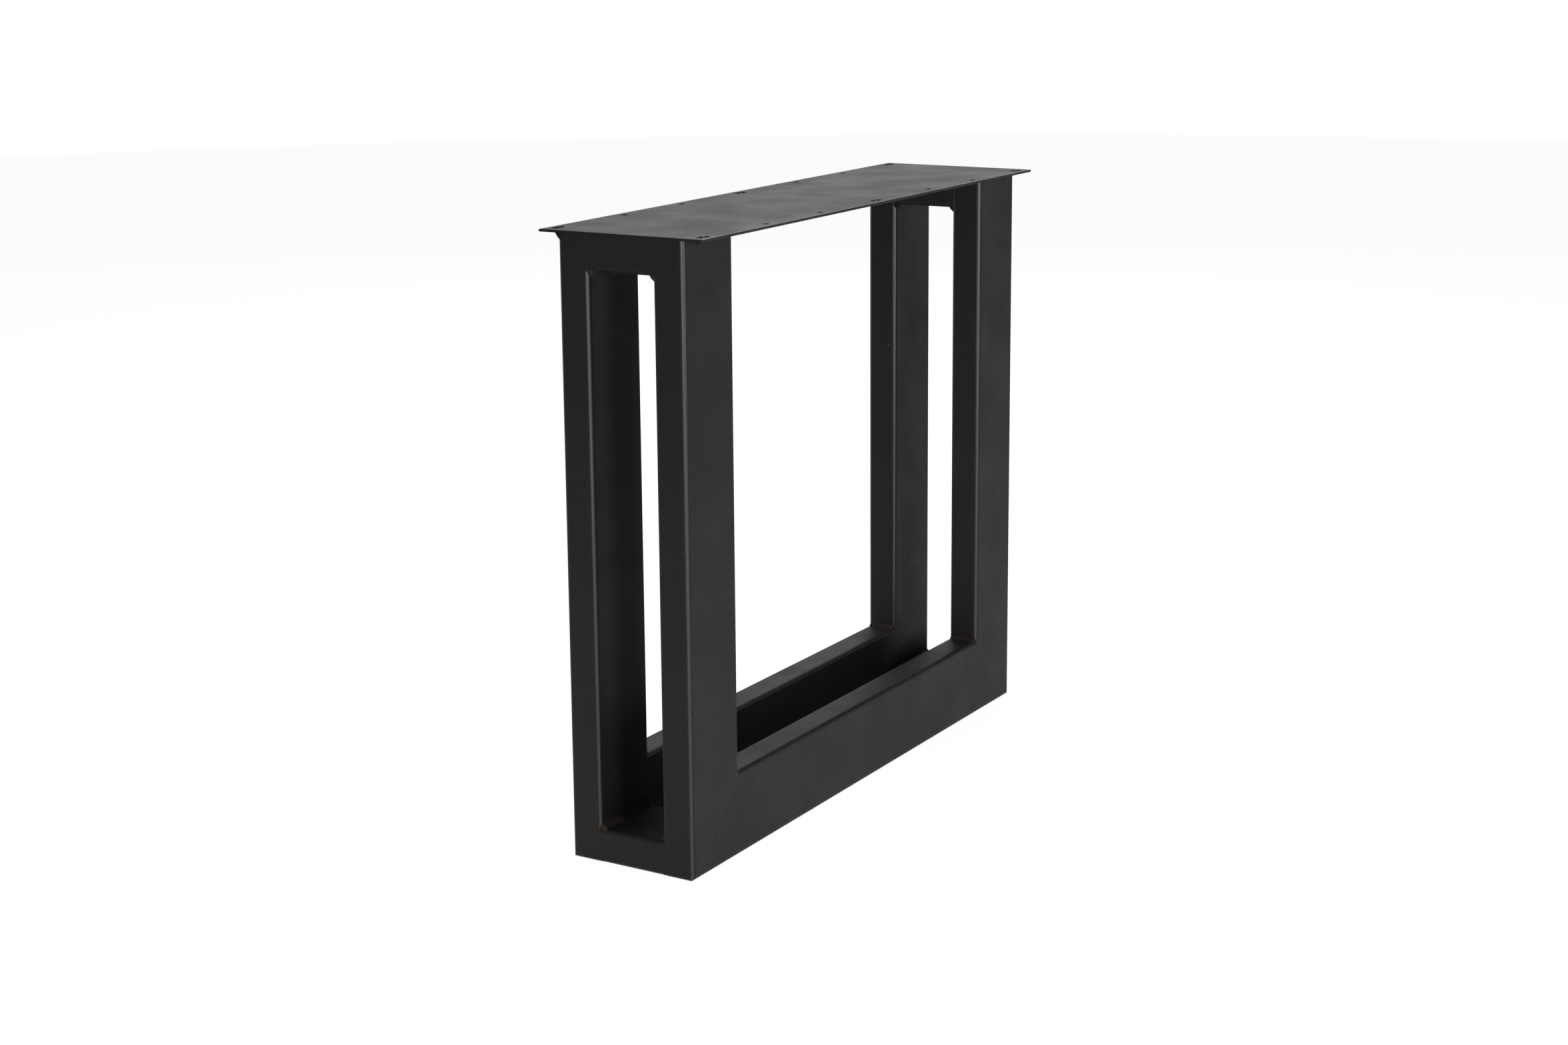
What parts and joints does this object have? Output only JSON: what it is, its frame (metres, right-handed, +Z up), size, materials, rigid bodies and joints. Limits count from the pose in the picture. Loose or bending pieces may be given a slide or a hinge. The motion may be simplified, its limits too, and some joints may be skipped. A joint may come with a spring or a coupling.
{
  "type": "u shaped table leg",
  "caption": "Welded double U table leg of flat rectangular steel tube, with a slotted and drilled plate on top that is screwed to the underside of a table top.",
  "frame": {"origin": "on the floor, under the middle of the top plate", "axes": "+X along the plate and the bottom rails, +Y across the plate from the front frame to the back frame, +Z up"},
  "size_m": [0.8, 0.212, 0.72],
  "materials": {
    "powder_coat": "matt black powder coat with a fine grain",
    "powder_coat_on_welds": "the same powder coat, a little smoother over the weld beads"
  },
  "bodies": {
    "root": {"top_plate": "powder_coat", "front_left_post": "powder_coat", "front_right_post": "powder_coat", "front_bottom_rail": "powder_coat", "back_left_post": "powder_coat", "back_right_post": "powder_coat", "back_bottom_rail": "powder_coat", "left_top_cross_tube": "powder_coat", "right_top_cross_tube": "powder_coat", "left_bottom_cross_tube": "powder_coat", "right_bottom_cross_tube": "powder_coat", "front_left_corner_weld": "powder_coat_on_welds", "front_right_corner_weld": "powder_coat_on_welds", "back_left_corner_weld": "powder_coat_on_welds", "back_right_corner_weld": "powder_coat_on_welds", "front_left_top_cross_weld": "powder_coat_on_welds", "front_right_top_cross_weld": "powder_coat_on_welds", "back_left_top_cross_weld": "powder_coat_on_welds", "back_right_top_cross_weld": "powder_coat_on_welds", "front_left_bottom_cross_weld": "powder_coat_on_welds", "front_right_bottom_cross_weld": "powder_coat_on_welds", "back_left_bottom_cross_weld": "powder_coat_on_welds", "back_right_bottom_cross_weld": "powder_coat_on_welds", "front_left_plate_weld": "powder_coat_on_welds", "front_right_plate_weld": "powder_coat_on_welds", "back_left_plate_weld": "powder_coat_on_welds", "back_right_plate_weld": "powder_coat_on_welds", "left_end_plate_weld": "powder_coat_on_welds", "right_end_plate_weld": "powder_coat_on_welds"}
  },
  "joints": []
}
